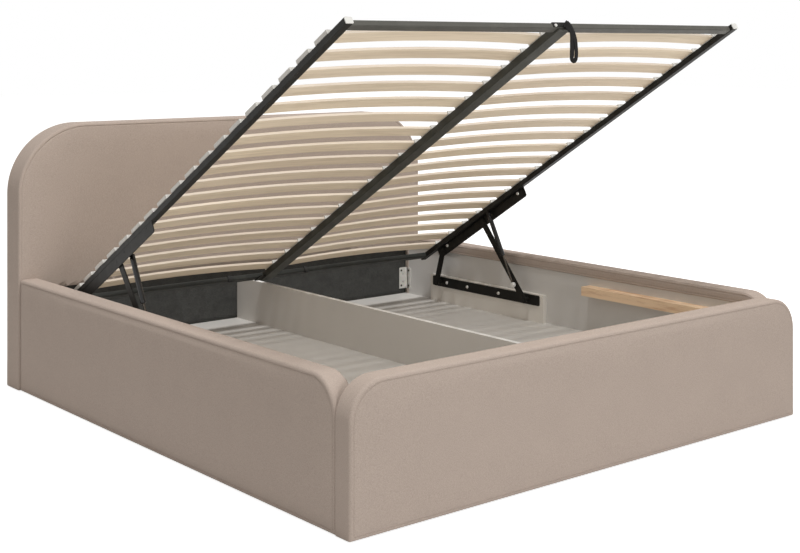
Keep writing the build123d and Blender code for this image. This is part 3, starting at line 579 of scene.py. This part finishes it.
def swell(piece, free, axis):
    """Blows the free part of a padded face up a little with cloth simulation, along one axis of the
    bed and no further than SWELL_LIMIT. Each point then takes the mean of its neighbours' rise."""
    mesh = piece.data
    rest = [vertex.co.copy() for vertex in mesh.vertices]
    held = piece.vertex_groups.new(name="held")
    held.add([vertex.index for vertex in mesh.vertices if not free(vertex)], 1.0, "REPLACE")
    cloth_modifier = piece.modifiers.new("pad", "CLOTH")
    settings = cloth_modifier.settings
    settings.use_pressure = True
    settings.uniform_pressure_force = SWELL_PRESSURE
    settings.vertex_group_mass = "held"
    settings.quality = 5
    settings.effector_weights.gravity = 0
    cloth_modifier.point_cache.frame_start = 1
    cloth_modifier.point_cache.frame_end = SWELL_FRAMES
    for step in range(1, SWELL_FRAMES + 1):
        scene.frame_set(step)
    shaped = piece.evaluated_get(bpy.context.evaluated_depsgraph_get()).data
    moved = [vertex.co.copy() for vertex in shaped.vertices]
    piece.modifiers.clear()
    scene.frame_set(1)
    rise = [end[axis] - start[axis] for start, end in zip(rest, moved)]
    near = [[index] for index in range(len(rest))]
    for edge in mesh.edges:
        first, second = edge.vertices
        near[first].append(second)
        near[second].append(first)
    for _ in range(SWELL_AVERAGES):
        rise = [
            sum(rise[other] for other in near[index]) / len(near[index])
            if free(mesh.vertices[index]) else 0.0
            for index in range(len(rise))
        ]
    for vertex, start, height in zip(mesh.vertices, rest, rise):
        limited = SWELL_LIMIT * (1 - exp(-abs(height) / SWELL_LIMIT))
        vertex.co[axis] = start[axis] + limited * (1 if height > 0 else -1)
    piece.vertex_groups.clear()


def joined(piece, other):
    """Adds the mesh of other to piece and removes other."""
    built = bmesh.new()
    built.from_mesh(piece.data)
    built.from_mesh(other.data)
    built.to_mesh(piece.data)
    built.free()
    bpy.data.objects.remove(other)


def cut_box(piece, low_corner, high_corner):
    """Cuts a box out of a piece."""
    built = bmesh.new()
    bmesh.ops.create_cube(built, size=1)
    for vertex in built.verts:
        vertex.co = [
            (a + b) / 2 + c * (b - a) for a, b, c in zip(low_corner, high_corner, vertex.co)
        ]
    cutter = linked("cutter", built)
    cut = piece.modifiers.new("cut", "BOOLEAN")
    cut.operation = "DIFFERENCE"
    cut.solver = "EXACT"
    cut.object = cutter
    applied(piece)
    bpy.data.objects.remove(cutter)


def arc_flap(left, right, bottom, top, radius):
    """Outline of a flap whose left end follows a round corner that starts below it."""
    lower_parts, upper_parts, end_parts = 160, 150, 4
    across = sorted(
        point for point in outline_points(left, right, top - radius, top, radius, 0, 0.006)
        if point[1] > bottom + 0.004 and point[0] < left + radius
    )
    rise = radius - (top - bottom)
    begin = left + radius - (radius * radius - rise * rise) ** 0.5
    lower = [(begin + (right - begin) * share / lower_parts, bottom) for share in range(lower_parts + 1)]
    end = [(right, bottom + (top - bottom) * share / end_parts) for share in range(1, end_parts)]
    upper = [(right + (left + radius - right) * share / upper_parts, top) for share in range(upper_parts)]
    return lower + end + upper + across[::-1]


def flap_pad(name, outer, place):
    """A turned-in flap of cloth with a stitched hem, laid flat against a board."""
    thickness = FLAP_THICKNESS
    bottom = min(point[1] for point in outer)
    half = middle_points(outer)[1]
    rings = [(0.0, 0.0), (0.0, thickness * 0.55), (0.0007, thickness * 0.85), (0.0022, thickness)]
    for away, dip in HEM_PROFILE:
        rings.append((HEM_INSET + away, thickness - dip))
    rings += [(0.012, thickness * 1.02), (half, thickness)]

    def wavy(u, v, w):
        lift = 0.0006 * noise.noise(Vector((u * 9, v * 9, 0.3))) * (w / thickness if w > 0 else 0)
        edge = 0.0012 * noise.noise(Vector((u * 6, 4.1, 0))) * max(0.0, 1 - (v - bottom) / 0.02)
        return place(u, v + edge, w + lift)

    return ring_shell(name, outer, outer, rings, [(half, 0.0)], wavy)


def finish_cover(piece, node_name):
    """Upholsters a cover and lets it stand for its node."""
    piece.data.materials.append(materials["upholstery"])
    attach(piece, "base")
    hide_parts(node_name)


def padded_panel(name, spans, radii, thickness, place):
    """A padded cover over a board: open at the back, sewn round the front."""
    (left, right), (bottom, top) = spans
    outer = outline_points(left, right, bottom, top, *radii, STEP)
    inner_spans = (left + PADDING, right - PADDING, bottom + 0.001, top - PADDING)
    half = middle_points(outer)[1]
    centre = (left + right) / 2
    inner = [
        (
            min(max(x, inner_spans[0]), inner_spans[1]) if not (radii[0] or radii[1]) else
            centre + (x - centre) * (inner_spans[1] - inner_spans[0]) / (right - left),
            inner_spans[2] + (y - bottom) * (inner_spans[3] - inner_spans[2]) / (top - bottom),
        )
        for x, y in outer
    ]
    inner_half = middle_points(inner)[1]
    rings = face_rings(thickness, half)
    return ring_shell(name, outer, inner, rings, inner_rings(thickness, inner_half), place)


head_low, head_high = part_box("headboard_cover")


def inside(value, lowest, highest):
    """True between two limits, away from both by the margin that the seams need."""
    return lowest + SWELL_MARGIN < value < highest - SWELL_MARGIN


headboard = padded_panel(
    "padded_headboard",
    ((head_low.x, head_high.x), (head_low.z, head_high.z)),
    (HEAD_COVER_CORNER, HEAD_COVER_CORNER),
    head_high.y - head_low.y,
    lambda u, v, w: (u, head_high.y - w, v),
)
swell(
    headboard,
    lambda vertex: vertex.co.y < head_low.y + FACE_DEPTH
    and abs(vertex.co.x) < head_high.x - SWELL_MARGIN and inside(vertex.co.z, head_low.z, head_high.z),
    1,
)

# The storage lining lies in a recess of the headboard's face
lining_low, lining_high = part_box("headboard_storage_lining")
cut_box(
    headboard,
    (lining_low.x - RECESS_MARGIN, head_low.y - 0.02, head_low.z - 0.01),
    (lining_high.x + RECESS_MARGIN, lining_high.y + 0.0005, lining_high.z),
)
finish_cover(headboard, "headboard_cover")

foot_low, foot_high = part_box("footboard_cover")
footboard = padded_panel(
    "padded_footboard",
    ((foot_low.x, foot_high.x), (foot_low.z, foot_high.z)),
    (FOOT_COVER_CORNER, FOOT_COVER_CORNER),
    foot_high.y - foot_low.y,
    lambda u, v, w: (u, foot_high.y - w, v),
)
swell(
    footboard,
    lambda vertex: vertex.co.y < foot_low.y + FACE_DEPTH
    and abs(vertex.co.x) < foot_high.x - SWELL_MARGIN and inside(vertex.co.z, foot_low.z, foot_high.z),
    1,
)
panel_inner = min(abs(corner.x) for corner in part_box("side_board_right"))
flap_bottom = lining_high.z
flap_top = foot_high.z - FLAP_INSET
joined(footboard, flap_pad(
    "footboard_flap",
    outline_points(
        -panel_inner + FOOT_FLAP_GAP, panel_inner - FOOT_FLAP_GAP, flap_bottom, flap_top,
        FOOT_FLAP_CORNER, FOOT_FLAP_CORNER, FOOT_FLAP_STEP,
    ),
    lambda u, v, w: (u, foot_high.y - FLAP_LIFT + w, v),
))
finish_cover(footboard, "footboard_cover")

# Side covers, each with its flap turned over the inside
for side, sign in (("left", -1), ("right", 1)):
    side_low, side_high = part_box(f"side_cover_{side}")
    inner_x = min(abs(side_low.x), abs(side_high.x))
    outer_x = max(abs(side_low.x), abs(side_high.x))
    panel = padded_panel(
        f"padded_side_{side}",
        ((side_low.y, side_high.y), (side_low.z, side_high.z)),
        (FOOT_COVER_CORNER, 0.0),
        outer_x - inner_x,
        lambda u, v, w, inner_x=inner_x, sign=sign: (sign * (inner_x + w), u, v),
    )
    swell(
        panel,
        lambda vertex: abs(vertex.co.x) > outer_x - FACE_DEPTH
        and inside(vertex.co.z, side_low.z, side_high.z) and inside(vertex.co.y, side_low.y, side_high.y),
        0,
    )
    flap_ends = (side_low.y + FLAP_INSET, side_high.y - FLAP_INSET)
    joined(panel, flap_pad(
        f"side_flap_{side}",
        arc_flap(*flap_ends, flap_bottom, flap_top, SIDE_FLAP_CORNER),
        lambda u, v, w, inner_x=inner_x, sign=sign: (sign * (inner_x + FLAP_LIFT - w), u, v),
    ))
    finish_cover(panel, f"side_cover_{side}")


# Boards inside the padded panels, with both upper corners round like the covers
def shaped_board(name, node_name, corner):
    """A sawn board with eased edges, in the place of its node."""
    low_corner, high_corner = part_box(node_name)
    outline = outline_points(
        low_corner.x, high_corner.x, low_corner.z, high_corner.z, corner, corner, 0.04
    )
    built = bmesh.new()
    front, back = (
        [built.verts.new((u, depth, v)) for u, v in outline] for depth in (low_corner.y, high_corner.y)
    )
    built.faces.new(front)
    built.faces.new(back[::-1])
    for index in range(len(outline)):
        after = (index + 1) % len(outline)
        built.faces.new((front[index], back[index], back[after], front[after]))
    bmesh.ops.recalc_face_normals(built, faces=built.faces)
    piece = linked(name, built)
    eased(piece, BOARD_BEVEL)
    applied(piece)
    piece.data.materials.append(materials["raw_board"])
    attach(piece, "base")
    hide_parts(node_name)


shaped_board("head_panel_board", "headboard_board", BACK_CORNER)
shaped_board("foot_panel_board", "footboard_board", FOOT_CORNER)


# Linings: thin cloth stretched over the boards
def stretched_sheet(name, node_name, depth_axis_low, ripple, corner=0.0):
    """A lining cloth, drawn tight, with slight ripples, in the place of its node. corner is the radius
    of its upper corners."""
    low_corner, high_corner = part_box(node_name)
    width, height = high_corner.x - low_corner.x, high_corner.z - low_corner.z
    columns, rows = 110, max(12, int(height / 0.02))
    built = bmesh.new()
    face_y = low_corner.y if depth_axis_low else high_corner.y
    sense = 1 if depth_axis_low else -1
    grid = []
    for row in range(rows + 1):
        line = []
        for column in range(columns + 1):
            across = column / columns
            up = row / rows
            edge = min(across, 1 - across, up, 1 - up) * 10
            hold = min(1.0, edge)
            wave = noise.noise(Vector((across * 7, up * 2.2, 1.7))) * 0.5 + 0.5
            z = low_corner.z + height * up
            over = max(0.0, z - (high_corner.z - corner))
            reach = width / 2 - corner + (corner * corner - over * over) ** 0.5
            x = (low_corner.x + high_corner.x) / 2 + reach * (2 * across - 1)
            line.append(built.verts.new((x, face_y + sense * ripple * wave * hold, z)))
        grid.append(line)
    for row in range(rows):
        for column in range(columns):
            lower, upper = grid[row], grid[row + 1]
            quad = (lower[column], lower[column + 1], upper[column + 1], upper[column])
            built.faces.new(quad if depth_axis_low else quad[::-1])
    piece = linked(name, built)
    thick = piece.modifiers.new("thickness", "SOLIDIFY")
    thick.thickness = LINING_THICKNESS
    thick.offset = -1
    applied(piece)
    smoothed(piece)
    piece.data.materials.append(materials["dark_lining"])
    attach(piece, "base")
    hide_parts(node_name)
    return piece, (width, height)


storage_lining, cut_size = stretched_sheet(
    "storage_lining_cloth", "headboard_storage_lining", True, 0.0008
)
back_lining, back_size = stretched_sheet(
    "back_lining_cloth", "headboard_back_lining", False, 0.0006, BACK_CORNER
)


# Pull strap: a doubled loop of webbing with a twist in it
def ribbon(name, centres, sides, widths, thickness):
    """A flat band through centres. sides gives the direction of its breadth and widths its size."""
    built = bmesh.new()
    sections = []
    count = len(centres)
    for index, (centre, across, width) in enumerate(zip(centres, sides, widths)):
        ahead = (centres[min(index + 1, count - 1)] - centres[max(index - 1, 0)]).normalized()
        across = (across - ahead * across.dot(ahead)).normalized()
        out = ahead.cross(across).normalized()
        ring = []
        for along, lift in (
            (-0.5, 0.2), (-0.47, 0.5), (-0.3, 0.42), (0, 0.36), (0.3, 0.42), (0.47, 0.5), (0.5, 0.2),
            (0.5, -0.2), (0.47, -0.5), (0.3, -0.42), (0, -0.36), (-0.3, -0.42), (-0.47, -0.5), (-0.5, -0.2),
        ):
            ring.append(built.verts.new(centre + across * width * along + out * thickness * lift))
        sections.append(ring)
    for ring, following in zip(sections, sections[1:]):
        for index in range(len(ring)):
            after = (index + 1) % len(ring)
            built.faces.new((ring[index], ring[after], following[after], following[index]))
    built.faces.new(sections[0][::-1])
    built.faces.new(sections[-1])
    bmesh.ops.recalc_face_normals(built, faces=built.faces)
    piece = linked(name, built)
    smoothed(piece)
    return piece


def smooth_line(points, steps):
    """Points along a Catmull-Rom curve."""
    out = []
    padded_points = [points[0] * 2 - points[1], *points, points[-1] * 2 - points[-2]]
    for a, b, c, d in zip(padded_points, padded_points[1:], padded_points[2:], padded_points[3:]):
        for step in range(steps):
            t = step / steps
            out.append(
                0.5 * (2 * b + (c - a) * t + (2 * a - 5 * b + 4 * c - d) * t * t
                       + (3 * b - a - 3 * c + d) * t * t * t)
            )
    out.append(points[-1].copy())
    return out


strap_low, strap_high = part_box("strap_handle")
strap_top = strap_high.z - 0.003
strap_y = strap_low.y + 0.004


def strap_point(x, drop, depth):
    """A point of the strap from millimetres across, below its top and behind its front."""
    return Vector((x / 1000, strap_y + depth / 1000, strap_top - drop / 1000))


# Across, drop, depth and breadth of the band, in millimetres
leg_in_front = [(-4, 0, 0, 21), (10, 13, 0, 21), (25.5, 29, 0, 21), (26, 66, -1, 23), (25.5, 94, -1, 22)]
fold = [(26, 108.5, 0, 17), (35, 115, 1, 14), (44, 109.5, 2, 15)]
leg_behind = [(47, 94, 2.5, 17), (46, 72, 3, 19), (40, 46, 3, 22), (24, 18, 3, 22), (5, 2, 2, 21)]
marks = leg_in_front + fold + leg_behind
line = smooth_line([strap_point(*mark[:3]) for mark in marks], 6)
breadths = [point.x for point in smooth_line([Vector((mark[3] / 1000, 0, 0)) for mark in marks], 6)]
bands = []
for index in range(len(line)):
    ahead = line[min(index + 1, len(line) - 1)] - line[max(index - 1, 0)]
    tilt = STRAP_TWIST * sin(2 * pi * index / (len(line) - 1))
    bands.append(Vector((-ahead.z, tilt * ahead.length, ahead.x)).normalized())
strap = ribbon("webbing_loop", line, bands, breadths, STRAP_THICKNESS)
strap.data.materials.append(materials["webbing"])
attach(strap, "slatted_frame")
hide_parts("strap_handle")


# Softened edges on sawn and moulded parts
for node_name, width in (
    ("slats_left", 0.0022), ("slats_right", 0.0022), ("support_battens", 0.002), ("centre_divider", 0.0008),
    ("packing_boards", 0.0008), ("side_slat_holders_left", 0.0008), ("side_slat_holders_right", 0.0008),
    ("centre_slat_holders", 0.0008),
):
    eased(nodes[node_name], width)


# Floor, backdrop and light
def stage_material():
    """Pale floor that the camera and mirrors see as white, with the object's shadow kept."""
    made = Shader("pale_stage", roughness=0.9)
    made.bsdf.inputs["Base Color"].default_value = (0.72, 0.72, 0.72, 1)
    made.bsdf.inputs["Specular IOR Level"].default_value = 0.0
    path = made.node("ShaderNodeLightPath")
    seen = made.math(
        "MAXIMUM",
        made.math("MAXIMUM", path.outputs["Is Camera Ray"], path.outputs["Is Glossy Ray"]),
        path.outputs["Is Transmission Ray"],
    )
    made.bsdf.inputs["Emission Color"].default_value = (1, 1, 1, 1)
    made.link(made.math("MULTIPLY", seen, FLOOR_GLOW), made.bsdf.inputs["Emission Strength"])
    return made.material


floor_grid = bmesh.new()
bmesh.ops.create_grid(floor_grid, x_segments=40, y_segments=40, size=30)
floor = linked("floor", floor_grid)
floor.data.materials.append(stage_material())

world = bpy.data.worlds.new("studio")
scene.world = world
world.use_nodes = True
tree = world.node_tree
background = tree.nodes["Background"]
path = tree.nodes.new("ShaderNodeLightPath")


def world_math(operation, first, second):
    """A math node of the world's own node tree."""
    made = tree.nodes.new("ShaderNodeMath")
    made.operation = operation
    for socket, value in zip(made.inputs, (first, second)):
        if isinstance(value, (int, float)):
            socket.default_value = value
        else:
            tree.links.new(value, socket)
    return made.outputs["Value"]


seen = world_math(
    "MAXIMUM",
    world_math("MAXIMUM", path.outputs["Is Camera Ray"], path.outputs["Is Glossy Ray"]),
    path.outputs["Is Transmission Ray"],
)
ambient_tint = tree.nodes.new("ShaderNodeMix")
ambient_tint.data_type = "RGBA"
ambient_tint.inputs[6].default_value = AMBIENT_TINT
ambient_tint.inputs[7].default_value = (1, 1, 1, 1)
tree.links.new(seen, ambient_tint.inputs[0])
tree.links.new(ambient_tint.outputs[2], background.inputs["Color"])
strength = world_math("ADD", AMBIENT, world_math("MULTIPLY", seen, 1 - AMBIENT))
tree.links.new(strength, background.inputs["Strength"])


def area_light(name, place, aim, size, power):
    """A square light at place that faces aim."""
    data = bpy.data.lights.new(name, "AREA")
    data.shape = "SQUARE"
    data.size = size
    data.energy = power
    light = bpy.data.objects.new(name, data)
    light.location = place
    light.rotation_euler = (Vector(aim) - Vector(place)).to_track_quat("-Z", "Y").to_euler()
    scene.collection.objects.link(light)


area_light("top_light", (-0.45, -1.2, 6.8), (0, 0, 0), 1.0, 305)
area_light("front_light", (-1.0, -10.0, 1.3), (0, 0, 0.7), 3.6, 335)
